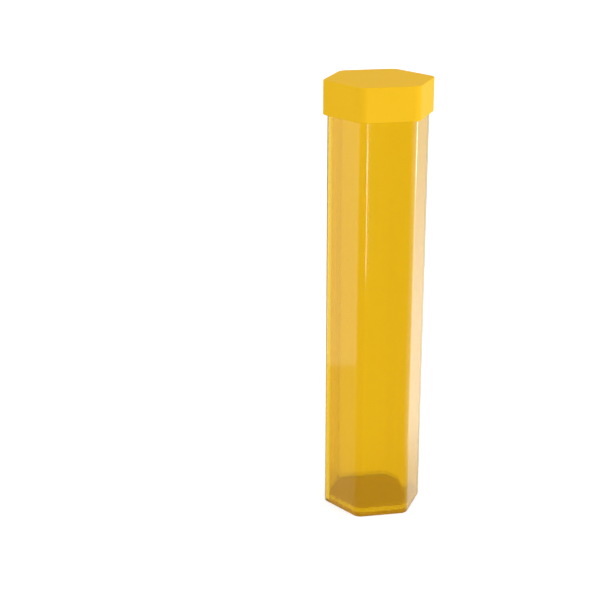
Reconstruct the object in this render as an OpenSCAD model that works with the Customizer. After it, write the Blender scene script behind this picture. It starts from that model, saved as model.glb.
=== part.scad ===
// Hexagonal storage tube for a rolled playmat: a clear extruded sleeve, a floor plate bonded inside it just
// above its foot, and a slip-on lid that grips its mouth. Millimetres, +Z up, with the origin at the middle of
// the foot, on the surface that the tube stands on. Two flats of the hexagon face -Y and +Y.

/* [Sleeve] */
// Width of the sleeve across its flats, outside
sleeve_af = 75; // [60:0.5:110]
// Thickness of the sleeve's wall
sleeve_wall = 2.5; // [1.6:0.1:4]
// Length of the sleeve from its foot to its mouth
sleeve_length = 369.4; // [150:0.1:700]
// Radius of the sleeve's upright corners, outside
sleeve_corner_r = 8; // [5:0.5:9]
// Radius of the sleeve's upright corners, inside
bore_corner_r = 10; // [7:0.5:14]
// Radius that rounds the edges of the foot and the mouth
sleeve_rim_r = 0.6; // [0.2:0.1:0.7]

/* [Floor plate] */
// Depth of the hollow under the floor plate
floor_recess = 3.2; // [2:0.1:12]
// Thickness of the floor plate
floor_thickness = 4.2; // [1.5:0.1:6]
// Thickness of the bond between the floor plate and the sleeve
bond_gap = 0.05; // [0.02:0.01:0.2]

/* [Lid] */
// Height of the lid
lid_height = 28; // [16:0.5:60]
// Thickness of the lid's top
lid_top = 2.5; // [1.5:0.1:5]
// Thickness of the lid's side walls
lid_wall = 2.9; // [1.8:0.1:4]
// Gap between the lid's side walls and the sleeve
lid_fit = 0.3; // [0.2:0.05:0.6]
// Gap between the lid's underside and the sleeve's mouth
lid_seat_gap = 0.1; // [0.05:0.05:0.5]
// Radius of the lid's upright corners, outside
lid_corner_r = 9; // [4:0.5:10]
// Radius that rounds the edge of the lid's top
lid_top_edge_r = 0.7; // [0.2:0.1:1.2]
// Radius that rounds the lid's lower edge
lid_foot_edge_r = 0.5; // [0.2:0.1:0.7]
// Height of the chamfer that leads the sleeve into the lid
lid_lead = 0.8; // [0.3:0.1:1]

/* [Friction ribs] */
// Ribs on each inner face of the lid
ribs_per_face = 2; // [1:1:3]
// Distance between neighbouring ribs on a face
rib_pitch = 18; // [6:0.5:18]
// Width of a rib
rib_width = 3; // [1:0.1:5]
// Gap left between a rib and the sleeve
rib_gap = 0.05; // [0.02:0.01:0.15]
// How far the ribs stop short of the lid's lower edge
rib_start = 4; // [2:0.5:8]
// Length of the slope that leads onto a rib
rib_lead = 3; // [1:0.5:4]

/* [Hidden] */
sides = 6;
half_side = 180 / sides;
// Flats round a full turn of a rounded corner, with one flat's end in line with each side
$fn = 6 * sides;
// Flats that make up a rounded edge
edge_steps = 4;
// Reach of a cutting or joining solid past the face that it meets
overlap = 0.2;
amber = [0.89, 0.68, 0.1, 0.6];
yellow = [0.96, 0.76, 0.16];

sleeve_bore_af = sleeve_af - 2 * sleeve_wall;
plate_af = sleeve_bore_af - 2 * bond_gap;
plate_corner_r = bore_corner_r - bond_gap;
lid_bore_af = sleeve_af + 2 * lid_fit;
lid_bore_corner_r = sleeve_corner_r + lid_fit;
lid_af = lid_bore_af + 2 * lid_wall;
lid_seat_z = sleeve_length + lid_seat_gap;
lid_top_z = lid_seat_z + lid_top;
lid_foot_z = lid_top_z - lid_height;
rib_foot_z = lid_foot_z + rib_start;
rib_proud = lid_fit - rib_gap;

// Corner of a profile, rounded about its centre over a quarter turn from the given angle
function quarter(centre, r, from) = [
    for (step = [0 : edge_steps])
        let (angle = from + 90 * step / edge_steps)
            centre + r * [cos(angle), sin(angle)]
];

// Places its children at the centre of each rounded corner of a hexagon
module at_corners(af, corner_r) {
    for (corner = [0 : sides - 1])
        rotate(2 * half_side * corner)
            translate([(af / 2 - corner_r) / cos(half_side), 0])
                children();
}

// Hexagon with rounded corners
module outline(af, corner_r) {
    hull()
        at_corners(af, corner_r)
            circle(corner_r);
}

// Upright prism with plain ends
module prism(af, corner_r, z0, z1) {
    translate([0, 0, z0])
        linear_extrude(z1 - z0)
            outline(af, corner_r);
}

// Upright prism with its lower and upper edges rounded
module soft_prism(af, corner_r, z0, z1, foot_r, head_r) {
    hull()
        at_corners(af, corner_r)
            rotate_extrude()
                polygon([
                    [0, z0],
                    each quarter([corner_r - foot_r, z0 + foot_r], foot_r, -90),
                    each quarter([corner_r - head_r, z1 - head_r], head_r, 0),
                    [0, z1]
                ]);
}

// Cutter that widens the end of a bore at 45 degrees, from its own width at z_in outward to z_out
module flare(af, corner_r, z_in, z_out) {
    widening = abs(z_out - z_in);
    past = overlap * sign(z_out - z_in);
    hull()
        at_corners(af, corner_r)
            rotate_extrude()
                polygon([
                    [0, z_in - past],
                    [corner_r - overlap, z_in - past],
                    [corner_r + widening + overlap, z_out + past],
                    [0, z_out + past]
                ]);
}

// Clear extruded wall, open at both ends, with its foot and its mouth eased
module tube_sleeve() {
    color(amber)
        difference() {
            soft_prism(sleeve_af, sleeve_corner_r, 0, sleeve_length, sleeve_rim_r, sleeve_rim_r);
            prism(sleeve_bore_af, bore_corner_r, -overlap, sleeve_length + overlap);
            flare(sleeve_bore_af, bore_corner_r, sleeve_length - sleeve_rim_r, sleeve_length);
        }
}

// Clear floor, bonded all round to the sleeve's inner faces, with a hollow below it
module floor_plate() {
    color(amber)
        prism(plate_af, plate_corner_r, floor_recess, floor_recess + floor_thickness);
}

// One rib on the inside of the lid's flat that faces +X, sloped at its lower end
module friction_rib() {
    translate([lid_bore_af / 2, 0, 0])
        rotate([90, 0, 0])
            linear_extrude(rib_width, center = true)
                polygon([
                    [overlap, rib_foot_z],
                    [0, rib_foot_z],
                    [-rib_proud, rib_foot_z + rib_lead],
                    [-rib_proud, lid_seat_z + overlap],
                    [overlap, lid_seat_z + overlap]
                ]);
}

// Opaque cap with friction ribs inside, seated on the sleeve's mouth
module lid() {
    color(yellow) {
        difference() {
            soft_prism(lid_af, lid_corner_r, lid_foot_z, lid_top_z, lid_foot_edge_r, lid_top_edge_r);
            prism(lid_bore_af, lid_bore_corner_r, lid_foot_z - overlap, lid_seat_z);
            flare(lid_bore_af, lid_bore_corner_r, lid_foot_z + lid_lead, lid_foot_z);
        }
        for (face = [0 : sides - 1], rib = [0 : ribs_per_face - 1])
            rotate(half_side + 2 * half_side * face)
                translate([0, rib_pitch * (rib - (ribs_per_face - 1) / 2), 0])
                    friction_rib();
    }
}

tube_sleeve();
floor_plate();
lid();
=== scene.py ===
"""A hexagonal playmat tube of clear amber plastic with an opaque yellow lid, standing in a white studio."""
import math

import bmesh
import bpy
from mathutils import Matrix, Vector


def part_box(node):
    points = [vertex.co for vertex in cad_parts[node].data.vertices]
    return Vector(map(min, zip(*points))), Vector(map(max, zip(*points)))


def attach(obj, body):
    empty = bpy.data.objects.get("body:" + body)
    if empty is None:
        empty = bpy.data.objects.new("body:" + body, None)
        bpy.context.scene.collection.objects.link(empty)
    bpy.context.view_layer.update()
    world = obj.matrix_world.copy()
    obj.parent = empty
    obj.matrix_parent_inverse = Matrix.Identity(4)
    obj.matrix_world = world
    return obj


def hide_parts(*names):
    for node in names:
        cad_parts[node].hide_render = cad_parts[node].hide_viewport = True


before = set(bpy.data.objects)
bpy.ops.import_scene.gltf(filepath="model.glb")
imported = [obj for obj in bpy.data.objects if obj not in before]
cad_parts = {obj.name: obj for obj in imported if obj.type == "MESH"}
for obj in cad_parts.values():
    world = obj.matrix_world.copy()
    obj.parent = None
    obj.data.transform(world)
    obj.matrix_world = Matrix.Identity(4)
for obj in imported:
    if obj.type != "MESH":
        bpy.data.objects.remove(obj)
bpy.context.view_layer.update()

scene = bpy.context.scene
MM = 0.001

# Sizes that the frame's boxes don't give
BOND_GAP = 0.05 * MM
LID_FIT = 0.3 * MM
LID_SEAT_GAP = 0.1 * MM
SLEEVE_RIM_R = 0.6 * MM
BORE_FOOT_R = 0.1 * MM
PLATE_EDGE_R = 0.1 * MM
LID_TOP_EDGE_R = 0.7 * MM
LID_FOOT_EDGE_R = 0.5 * MM
LID_LEAD_R = 0.8 * MM
LID_INNER_FILLET = 0.8 * MM
RIBS_PER_FACE = 2
RIB_PITCH = 18 * MM
RIB_WIDTH = 3 * MM
RIB_PROUD = 0.25 * MM
RIB_ROOT = 0.6 * MM
RIB_START = 4 * MM
RIB_LEAD = 3 * MM
RIB_EDGE = 0.12 * MM

# Fineness of the meshes
SIDES = 6
HALF_SIDE = math.pi / SIDES
CORNER_STEPS = 12
EDGE_STEPS = 6
RIB_EDGE_STEPS = 2

# How far a face may lean from upright and still be one of the floor plate's sides
SIDE_LEAN = math.radians(30)

# Amber plastic: the colours of its surfaces and of its depth, its refraction and how much it mirrors
SLEEVE_TINT = (0.862, 0.69, 0.055)
PLATE_TINT = (0.97, 0.96, 0.62)
SLEEVE_DEPTH_TINT = (0.953, 0.876, 0, 1)
SLEEVE_DENSITY = 300
AMBER_IOR = 1.49
BOND_IOR = 1.0
AMBER_MIRROR = (0.2, 0.2, 0.2, 1)

# Its faint lines: their number in a metre, how far the sleeve's are drawn out, and how they shade and rise
LINE_SCALE = 260
LINE_DETAIL = 2
LINE_STRETCH = 400
LINE_SHADE = 0.06
LINE_HEIGHT = 0.002 * MM
LINE_BUMP = 0.05

# Its roughness from line to line, what the sleeve's bore and sawn ends add to it, and the look of those ends
SLEEVE_ROUGHNESS = (0.04, 0.06)
SHEET_ROUGHNESS = (0.03, 0.05)
BOND_ROUGHNESS = (0, 0.02)
BORE_ROUGHNESS = 0.05
SAWN_ROUGHNESS = 0.5
SAWN_CLEARNESS = 0.4
SAWN_TINT = (0.74, 0.46, 0.02, 1)

# Lid plastic: its two shades and their clouds, how much it mirrors, and its fine grain
LID_COLOURS = ((0.88, 0.512, 0.014, 1), (0.92, 0.535, 0.018, 1))
CLOUD_SCALE = 45
CLOUD_DETAIL = 3
LID_MIRROR = 0.008
GRAIN_SCALE = 2600
GRAIN_DETAIL = 2
GRAIN_ROUGHNESS = (0.40, 0.52)
GRAIN_HEIGHT = 0.03 * MM
GRAIN_BUMP = 0.25

# Range that most of a noise lies in, and the stretch of one that is the same in all directions
NOISE_MIDDLE = (0.3, 0.7)
EVEN = 1

# Camera, from the photograph's view: the part is turned from it by the yaw, and lies ahead of it, to its
# right and below it
CAMERA_YAW = math.radians(10.44)
CAMERA_PITCH = math.radians(19.15)
CAMERA_AHEAD = 1.14097
CAMERA_RIGHT = 0.06347
CAMERA_ABOVE = 0.57981
CAMERA_LENS = 85.781
CAMERA_SENSOR = 36
CAMERA_REACH = 100

# Studio: a white world, and a white floor whose glow where it is seen is amber inside the tube's foot, where
# that dimmer amber glow is painted shade and painted amber light
FLOOR_REACH = 12
FLOOR_GAP = 0.1 * MM
FLOOR_WHITE = (0.6, 0.6, 0.6, 1)
FLOOR_LIFT = (0.6, 0.6, 0.6, 1)
# Painted shade and painted amber light: the floor's dim amber glow inside the tube's foot
HOLLOW_PAINTED_LIGHT = (0.31, 0.175, 0.04, 1)
WORLD_WHITE = (1, 1, 1, 1)
WORLD_LIGHT = 0.74
LIGHT_BOUNCES = 40


def hexagon_of(node):
    """Half the width across a node's flats, and the radius of its upright corners, from its box."""
    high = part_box(node)[1]
    flat = high.y
    corner = high.x
    stretch = 1 / math.cos(HALF_SIDE)
    return flat, (flat * stretch - corner) / (stretch - 1)


SLEEVE_FLAT, SLEEVE_R = hexagon_of("tube_sleeve")
PLATE_FLAT, PLATE_R = hexagon_of("floor_plate")
LID_FLAT, LID_R = hexagon_of("lid")
FOOT_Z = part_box("tube_sleeve")[0].z
MOUTH_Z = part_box("tube_sleeve")[1].z
PLATE_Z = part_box("floor_plate")[0].z
PLATE_TOP_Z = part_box("floor_plate")[1].z
LID_FOOT_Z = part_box("lid")[0].z
LID_TOP_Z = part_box("lid")[1].z
SEAT_Z = MOUTH_Z + LID_SEAT_GAP

# How far out each outline's corner centres lie: the lid's bore shares the sleeve's, and the plate the bore's
SLEEVE_APOTHEM = SLEEVE_FLAT - SLEEVE_R
BORE_APOTHEM = PLATE_FLAT - PLATE_R
LID_APOTHEM = LID_FLAT - LID_R
BORE_REACH = PLATE_R + BOND_GAP
LID_BORE_REACH = SLEEVE_R + LID_FIT


def add_object(name, data):
    item = bpy.data.objects.new(name, data)
    scene.collection.objects.link(item)
    return item


def mesh_object(name, mesh_data):
    """Object made of a finished bmesh."""
    mesh = bpy.data.meshes.new(name)
    mesh_data.to_mesh(mesh)
    mesh_data.free()
    return add_object(name, mesh)


def quarter(apothem, reach, z, radius, start, hollow=False):
    """Profile points of a rounded edge about a centre, over a quarter turn from the start angle in degrees.

    Each point is the apothem of the corner centres, the reach out from them, the height and the lean of the
    normal above the level. A convex edge turns from the start angle downward and a hollow one upward."""
    points = []
    for step in range(EDGE_STEPS + 1):
        turn = math.radians(start + (90 if hollow else -90) * step / EDGE_STEPS)
        lean = turn + math.pi if hollow else turn
        points.append((apothem, reach + radius * math.cos(turn), z + radius * math.sin(turn), lean))
    return points


def columns():
    """Angles of each rounded corner's centre and of the points on its arc, in order round the hexagon."""
    for corner in range(SIDES):
        middle = 2 * HALF_SIDE * corner
        for step in range(CORNER_STEPS + 1):
            yield middle, middle + HALF_SIDE * (2 * step / CORNER_STEPS - 1)


def outline_point(apothem, reach, middle, angle):
    """Point of a rounded hexagon's outline, from the angles of one of its columns."""
    centre = apothem / math.cos(HALF_SIDE)
    x = centre * math.cos(middle) + reach * math.cos(angle)
    y = centre * math.sin(middle) + reach * math.sin(angle)
    return x, y


def swept(name, profile, closed):
    """Piece with a profile carried round a rounded hexagon, and smooth normals that follow its true curves.

    A closed profile makes a ring, and an open one is capped flat at both ends."""
    mesh_data = bmesh.new()
    rings = []
    normals = []
    for apothem, reach, z, lean in profile:
        ring = []
        for middle, angle in columns():
            x, y = outline_point(apothem, reach, middle, angle)
            ring.append(mesh_data.verts.new((x, y, z)))
            level_share = math.cos(lean)
            normals.append((level_share * math.cos(angle), level_share * math.sin(angle), math.sin(lean)))
        rings.append(ring)
    count = len(rings[0])
    followers = rings[1:] + rings[:1] if closed else rings[1:]
    for upper, lower in zip(rings, followers):
        for i in range(count):
            j = (i + 1) % count
            mesh_data.faces.new((upper[i], lower[i], lower[j], upper[j]))
    if not closed:
        for ring, z_normal in ((rings[0], 1), (rings[-1], -1)):
            hub = mesh_data.verts.new((0, 0, ring[0].co.z))
            normals.append((0, 0, z_normal))
            for i in range(count):
                mesh_data.faces.new((hub, ring[i], ring[(i + 1) % count]))
    bmesh.ops.recalc_face_normals(mesh_data, faces=mesh_data.faces)
    piece = mesh_object(name, mesh_data)
    piece.data.polygons.foreach_set("use_smooth", [True] * len(piece.data.polygons))
    piece.data.normals_split_custom_set_from_vertices(normals)
    return piece


def make_sleeve():
    """Clear wall, open at both ends, whose mesh holds the roughness that its bore and sawn ends add."""
    edge = SLEEVE_RIM_R
    outer = SLEEVE_R - edge
    profile = (
        quarter(BORE_APOTHEM, BORE_REACH + edge, MOUTH_Z - edge, edge, 180)
        + quarter(SLEEVE_APOTHEM, outer, MOUTH_Z - edge, edge, 90)
        + quarter(SLEEVE_APOTHEM, outer, FOOT_Z + edge, edge, 0)
        + quarter(BORE_APOTHEM, BORE_REACH + BORE_FOOT_R, FOOT_Z + BORE_FOOT_R, BORE_FOOT_R, -90)
    )
    piece = swept("sleeve", profile, closed=True)
    # Along the profile, the mouth is sawn over both its edges, and the foot's outer edge is polished
    mouth = [BORE_ROUGHNESS] + [SAWN_ROUGHNESS] * 2 * EDGE_STEPS + [0]
    foot = [0] * EDGE_STEPS + [SAWN_ROUGHNESS] * (EDGE_STEPS + 1) + [BORE_ROUGHNESS]
    ring = SIDES * (CORNER_STEPS + 1)
    rough = piece.data.attributes.new("rough", "FLOAT", "POINT")
    rough.data.foreach_set("value", [value for value in mouth + foot for _ in range(ring)])
    return piece


def make_plate():
    """Clear floor, whose bonded sides take its second material."""
    edge = PLATE_EDGE_R
    profile = (
        quarter(BORE_APOTHEM, PLATE_R - edge, PLATE_TOP_Z - edge, edge, 90)
        + quarter(BORE_APOTHEM, PLATE_R - edge, PLATE_Z + edge, edge, 0)
    )
    piece = swept("clear_floor", profile, closed=False)
    for polygon in piece.data.polygons:
        polygon.material_index = 0 if abs(polygon.normal.z) > math.sin(SIDE_LEAN) else 1
    return piece


def make_lid():
    """Cap with rounded edges, a rounded lead-in and a fillet inside."""
    fillet = LID_INNER_FILLET
    profile = (
        quarter(LID_APOTHEM, LID_R - LID_TOP_EDGE_R, LID_TOP_Z - LID_TOP_EDGE_R, LID_TOP_EDGE_R, 90)
        + quarter(LID_APOTHEM, LID_R - LID_FOOT_EDGE_R, LID_FOOT_Z + LID_FOOT_EDGE_R, LID_FOOT_EDGE_R, 0)
        + quarter(SLEEVE_APOTHEM, LID_BORE_REACH + LID_LEAD_R, LID_FOOT_Z + LID_LEAD_R, LID_LEAD_R, -90)
        + quarter(SLEEVE_APOTHEM, LID_BORE_REACH - fillet, SEAT_Z - fillet, fillet, 0, hollow=True)
    )
    return swept("lid_shell", profile, closed=False)


def make_ribs():
    """Friction ribs on the lid's inner faces, each a slim bar with a sloped lower end and softened edges."""
    wall = SLEEVE_APOTHEM + LID_BORE_REACH
    foot = LID_FOOT_Z + RIB_START
    outline = (
        (wall + RIB_ROOT, foot),
        (wall, foot),
        (wall - RIB_PROUD, foot + RIB_LEAD),
        (wall - RIB_PROUD, SEAT_Z + RIB_ROOT),
        (wall + RIB_ROOT, SEAT_Z + RIB_ROOT),
    )
    count = len(outline)
    mesh_data = bmesh.new()
    for face in range(SIDES):
        turn = Matrix.Rotation(HALF_SIDE * (1 + 2 * face), 3, "Z")
        for rib in range(RIBS_PER_FACE):
            middle = RIB_PITCH * (rib - (RIBS_PER_FACE - 1) / 2)
            ends = []
            for side in (-1, 1):
                y = middle + side * RIB_WIDTH / 2
                ends.append([mesh_data.verts.new(turn @ Vector((x, y, z))) for x, z in outline])
            near, far = ends
            mesh_data.faces.new(near)
            mesh_data.faces.new(reversed(far))
            for i in range(count):
                j = (i + 1) % count
                mesh_data.faces.new((near[j], near[i], far[i], far[j]))
    bmesh.ops.recalc_face_normals(mesh_data, faces=mesh_data.faces)
    bmesh.ops.bevel(
        mesh_data, geom=mesh_data.edges[:], offset=RIB_EDGE, segments=RIB_EDGE_STEPS, profile=0.5,
        affect="EDGES")
    return mesh_object("lid_ribs", mesh_data)


class Nodes:
    """Short ways to add and join the nodes of one material, world or lamp."""

    def __init__(self, owner):
        owner.use_nodes = True
        self.tree = owner.node_tree
        self.tree.nodes.clear()

    def add(self, kind, **values):
        node = self.tree.nodes.new(kind)
        for name, value in values.items():
            setattr(node, name, value)
        return node

    def link(self, source, target):
        self.tree.links.new(source, target)


def stretched_noise(nodes, scale, stretch, detail):
    """Noise in the object's own metres, drawn out along Z by the given stretch."""
    place = nodes.add("ShaderNodeTexCoord")
    mapping = nodes.add("ShaderNodeMapping")
    mapping.inputs["Scale"].default_value = (1, 1, 1 / stretch)
    nodes.link(place.outputs["Object"], mapping.inputs["Vector"])
    noise = nodes.add("ShaderNodeTexNoise")
    noise.inputs["Scale"].default_value = scale
    noise.inputs["Detail"].default_value = detail
    nodes.link(mapping.outputs["Vector"], noise.inputs["Vector"])
    return noise.outputs["Fac"]


def ranged(nodes, factor, low, high, source=(0, 1)):
    """The factor's source range spread from low to high."""
    spread = nodes.add("ShaderNodeMapRange")
    spread.inputs["From Min"].default_value = source[0]
    spread.inputs["From Max"].default_value = source[1]
    spread.inputs["To Min"].default_value = low
    spread.inputs["To Max"].default_value = high
    nodes.link(factor, spread.inputs["Value"])
    return spread.outputs["Result"]


def combined(nodes, operation, first, second):
    """Sum, product or greater one of two factors."""
    both = nodes.add("ShaderNodeMath", operation=operation)
    nodes.link(first, both.inputs[0])
    nodes.link(second, both.inputs[1])
    return both.outputs["Value"]


def mixed(nodes, factor, *colours):
    """Two colours mixed by the factor, each a plain colour or the output of a node."""
    mix = nodes.add("ShaderNodeMix", data_type="RGBA")
    nodes.link(factor, mix.inputs["Factor"])
    for name, colour in zip("AB", colours):
        if isinstance(colour, bpy.types.NodeSocket):
            nodes.link(colour, mix.inputs[name])
        else:
            mix.inputs[name].default_value = colour
    return mix.outputs["Result"]


def bumped(nodes, height, distance, strength):
    """Normal that follows a height."""
    bump = nodes.add("ShaderNodeBump")
    bump.inputs["Distance"].default_value = distance
    bump.inputs["Strength"].default_value = strength
    nodes.link(height, bump.inputs["Height"])
    return bump.outputs["Normal"]


def amber_plastic(name, tint, line_stretch, roughness, ior=AMBER_IOR, sleeve=False):
    """Clear tinted plastic, with faint lines drawn out along Z by the given stretch.

    The sleeve's darkens over long ways through it, and is rougher and milky where its mesh says so."""
    material = bpy.data.materials.new(name)
    nodes = Nodes(material)
    shader = nodes.add("ShaderNodeBsdfPrincipled")
    shader.inputs["Transmission Weight"].default_value = 1
    shader.inputs["Specular Tint"].default_value = AMBER_MIRROR
    shader.inputs["IOR"].default_value = ior
    output = nodes.add("ShaderNodeOutputMaterial")
    nodes.link(shader.outputs["BSDF"], output.inputs["Surface"])
    lines = stretched_noise(nodes, LINE_SCALE, line_stretch, LINE_DETAIL)
    nodes.link(bumped(nodes, lines, LINE_HEIGHT, LINE_BUMP), shader.inputs["Normal"])
    shades = [[value * (1 + change) for value in tint] + [1] for change in (-LINE_SHADE, LINE_SHADE)]
    colour = mixed(nodes, lines, *shades)
    rough = ranged(nodes, lines, *roughness, source=NOISE_MIDDLE)
    if sleeve:
        own = nodes.add("ShaderNodeAttribute", attribute_name="rough").outputs["Fac"]
        rough = combined(nodes, "ADD", rough, own)
        sawn = ranged(nodes, own, 0, 1, source=(BORE_ROUGHNESS, SAWN_ROUGHNESS))
        colour = mixed(nodes, sawn, colour, SAWN_TINT)
        nodes.link(ranged(nodes, sawn, 1, SAWN_CLEARNESS), shader.inputs["Transmission Weight"])
        depth = nodes.add("ShaderNodeVolumeAbsorption")
        depth.inputs["Color"].default_value = SLEEVE_DEPTH_TINT
        depth.inputs["Density"].default_value = SLEEVE_DENSITY
        nodes.link(depth.outputs["Volume"], output.inputs["Volume"])
    nodes.link(colour, shader.inputs["Base Color"])
    nodes.link(rough, shader.inputs["Roughness"])
    return material


def lid_plastic():
    """Opaque moulded plastic with faint clouds of colour and a fine satin grain."""
    material = bpy.data.materials.new("lid_satin_yellow")
    nodes = Nodes(material)
    shader = nodes.add("ShaderNodeBsdfPrincipled")
    shader.inputs["Specular IOR Level"].default_value = LID_MIRROR
    output = nodes.add("ShaderNodeOutputMaterial")
    nodes.link(shader.outputs["BSDF"], output.inputs["Surface"])
    cloud = stretched_noise(nodes, CLOUD_SCALE, EVEN, CLOUD_DETAIL)
    nodes.link(mixed(nodes, cloud, *LID_COLOURS), shader.inputs["Base Color"])
    grain = stretched_noise(nodes, GRAIN_SCALE, EVEN, GRAIN_DETAIL)
    nodes.link(ranged(nodes, grain, *GRAIN_ROUGHNESS, source=NOISE_MIDDLE), shader.inputs["Roughness"])
    nodes.link(bumped(nodes, grain, GRAIN_HEIGHT, GRAIN_BUMP), shader.inputs["Normal"])
    return material


def finish_piece(piece, node_names, body, slot, *materials):
    """Gives a piece its materials and its body, and hides the nodes that it stands for; its slot is not
    used.
    """
    for material in materials:
        piece.data.materials.append(material)
    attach(piece, body)
    if node_names:
        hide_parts(*node_names)


def make_pieces():
    extruded = amber_plastic("amber_extruded", SLEEVE_TINT, LINE_STRETCH, SLEEVE_ROUGHNESS, sleeve=True)
    cut_sheet = amber_plastic("amber_sheet", PLATE_TINT, EVEN, SHEET_ROUGHNESS)
    bonded = amber_plastic("amber_bond", PLATE_TINT, EVEN, BOND_ROUGHNESS, ior=BOND_IOR)
    satin = lid_plastic()
    finish_piece(make_sleeve(), ["tube_sleeve"], "tube", "clear_amber", extruded)
    finish_piece(make_plate(), ["floor_plate"], "tube", "clear_amber", cut_sheet, bonded)
    finish_piece(make_lid(), ["lid"], "lid", "lid_yellow", satin)
    finish_piece(make_ribs(), [], "lid", "lid_yellow", satin)


def level(right, ahead, up=0.0):
    """Point of the part's frame that lies so far right of and ahead of its middle, as the camera sees it."""
    return Matrix.Rotation(-CAMERA_YAW, 4, "Z") @ Vector((right, ahead, up))


def make_camera():
    data = bpy.data.cameras.new("camera")
    data.sensor_width = CAMERA_SENSOR
    data.lens = CAMERA_LENS
    data.clip_end = CAMERA_REACH
    camera = add_object("camera", data)
    camera.location = level(-CAMERA_RIGHT, -CAMERA_AHEAD, CAMERA_ABOVE)
    camera.rotation_euler = (math.pi / 2 - CAMERA_PITCH, 0, -CAMERA_YAW)
    scene.camera = camera


def seen(nodes):
    """1 for rays that show a surface to the camera, straight, mirrored or refracted, and 0 for others."""
    path = nodes.add("ShaderNodeLightPath")
    total = path.outputs["Is Camera Ray"]
    for name in ("Is Glossy Ray", "Is Transmission Ray"):
        total = combined(nodes, "MAXIMUM", total, path.outputs[name])
    return total


def floor_sheet(name, corners, z, lift):
    """White sheet of floor: it takes the part's shadow, and its own glow lifts it where it is seen."""
    mesh_data = bmesh.new()
    mesh_data.faces.new([mesh_data.verts.new((x, y, z)) for x, y in corners])
    floor = mesh_object(name, mesh_data)
    material = bpy.data.materials.new(name)
    nodes = Nodes(material)
    matte = nodes.add("ShaderNodeBsdfDiffuse")
    matte.inputs["Color"].default_value = FLOOR_WHITE
    glow = nodes.add("ShaderNodeEmission")
    glow.inputs["Color"].default_value = lift
    nodes.link(seen(nodes), glow.inputs["Strength"])
    both = nodes.add("ShaderNodeAddShader")
    nodes.link(matte.outputs["BSDF"], both.inputs[0])
    nodes.link(glow.outputs["Emission"], both.inputs[1])
    output = nodes.add("ShaderNodeOutputMaterial")
    nodes.link(both.outputs["Shader"], output.inputs["Surface"])
    floor.data.materials.append(material)


def make_floor():
    """The floor, and its part inside the tube's foot, which only gets light through the amber plastic; the
    dim amber glow there is painted shade and painted light standing for that light.
    """
    square = [(FLOOR_REACH * x, FLOOR_REACH * y) for x, y in ((-1, -1), (1, -1), (1, 1), (-1, 1))]
    floor_sheet("floor", square, FOOT_Z - FLOOR_GAP, FLOOR_LIFT)
    hexagon = [outline_point(BORE_APOTHEM, BORE_REACH, *column) for column in columns()]
    # Painted shade and painted amber light: a dim amber glow replaces the white one under the tube
    floor_sheet("hollow_painted_light", hexagon, FOOT_Z - FLOOR_GAP / 2, HOLLOW_PAINTED_LIGHT)


def make_world():
    """White surroundings, which light the part a little less than they show."""
    world = bpy.data.worlds.new("studio")
    scene.world = world
    nodes = Nodes(world)
    background = nodes.add("ShaderNodeBackground")
    background.inputs["Color"].default_value = WORLD_WHITE
    nodes.link(ranged(nodes, seen(nodes), WORLD_LIGHT, 1), background.inputs["Strength"])
    output = nodes.add("ShaderNodeOutputWorld")
    nodes.link(background.outputs["Background"], output.inputs["Surface"])


def softbox(name, place, target, width, height, radiance):
    """Area lamp of the given radiance, facing its target, which doesn't show through clear plastic."""
    data = bpy.data.lights.new(name, "AREA")
    data.shape = "RECTANGLE"
    data.size = width
    data.size_y = height
    data.energy = radiance * math.pi * width * height
    lamp = add_object(name, data)
    lamp.location = place
    lamp.rotation_euler = (target - place).to_track_quat("-Z", "Y").to_euler()
    lamp.visible_transmission = False
    return lamp


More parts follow.
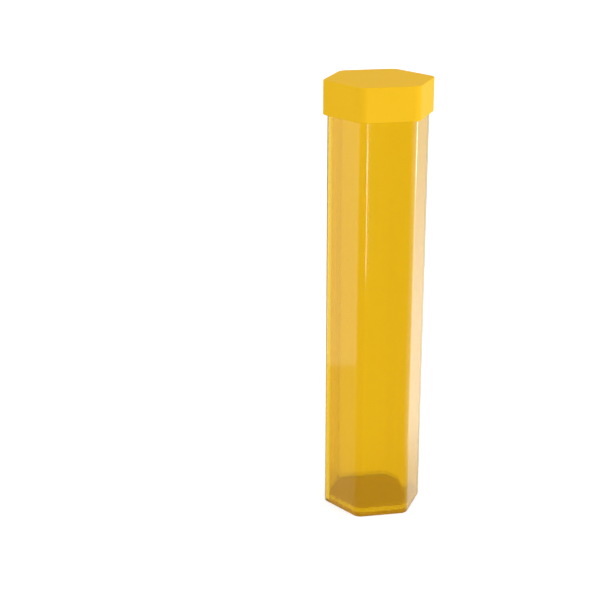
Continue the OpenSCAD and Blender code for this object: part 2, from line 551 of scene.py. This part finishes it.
def mirror_card(name, angle, distance, span, foot, head, radiance, foot_fade, head_fade):
    """Upright lamp that faces the part's axis, shows in mirror images on the part and lights nothing else.

    It stands at an angle in degrees to the right of the way to the camera and spans so many degrees. Its
    light fades towards its foot and its head over the given shares of its height."""
    turn = math.radians(angle)
    place = level(distance * math.sin(turn), -distance * math.cos(turn), (foot + head) / 2)
    width = 2 * distance * math.tan(math.radians(span) / 2)
    lamp = softbox(name, place, Vector((0, 0, place.z)), width, head - foot, radiance)
    nodes = Nodes(lamp.data)
    spot = nodes.add("ShaderNodeNewGeometry")
    split = nodes.add("ShaderNodeSeparateXYZ")
    nodes.link(spot.outputs["Parametric"], split.inputs["Vector"])
    fades = []
    for dark, bright in ((0, foot_fade), (1, 1 - head_fade)):
        share = nodes.add("ShaderNodeMapRange", interpolation_type="SMOOTHSTEP")
        share.inputs["From Min"].default_value = dark
        share.inputs["From Max"].default_value = bright
        nodes.link(split.outputs["Y"], share.inputs["Value"])
        fades.append(share.outputs["Result"])
    glow = nodes.add("ShaderNodeEmission")
    nodes.link(combined(nodes, "MULTIPLY", *fades), glow.inputs["Strength"])
    output = nodes.add("ShaderNodeOutputLight")
    nodes.link(glow.outputs["Emission"], output.inputs["Surface"])
    lamp.visible_camera = False
    lamp.visible_diffuse = False


def make_lights():
    """Softboxes round the part, and the cards and strips that its polished sides mirror."""
    middle = Vector((0, 0, LID_TOP_Z / 2))
    softbox(
        "right_softbox", level(right=1.5, ahead=-0.6, up=0.5), middle,
        width=1.2, height=1.0, radiance=3.2)
    softbox(
        "left_softbox", level(right=-1.4, ahead=-0.5, up=0.5), middle,
        width=1.0, height=1.0, radiance=1.05)
    softbox(
        "front_softbox", level(right=-0.4, ahead=-1.6, up=0.8), middle,
        width=1.0, height=0.8, radiance=1.75)
    softbox(
        "back_softbox", level(right=0.3, ahead=2.8, up=1.6), level(right=0.3, ahead=2.8),
        width=3.0, height=2.0, radiance=0.8)
    mirror_card(
        "left_card", angle=-96, distance=0.355, span=50, foot=0, head=0.5,
        radiance=1.7, foot_fade=0.01, head_fade=0.1)
    mirror_card(
        "right_wing", angle=80, distance=0.10, span=80, foot=0, head=0.40,
        radiance=2.2, foot_fade=0.1, head_fade=0.1)
    mirror_card(
        "right_card", angle=146, distance=0.06, span=80, foot=0, head=0.34,
        radiance=0.52, foot_fade=0.2, head_fade=0.6)
    mirror_card(
        "front_strip", angle=16.6, distance=0.6, span=7.4, foot=0, head=0.28,
        radiance=56, foot_fade=0.3, head_fade=0.05)
    mirror_card(
        "right_strip", angle=131, distance=0.54, span=12, foot=0.12, head=0.34,
        radiance=9, foot_fade=0.3, head_fade=0.1)


make_pieces()
make_camera()
make_floor()
make_world()
make_lights()
scene.view_settings.view_transform = "Standard"
# Light runs a long way inside clear walls before it leaves them
scene.cycles.max_bounces = LIGHT_BOUNCES
scene.cycles.glossy_bounces = LIGHT_BOUNCES
scene.cycles.transmission_bounces = LIGHT_BOUNCES
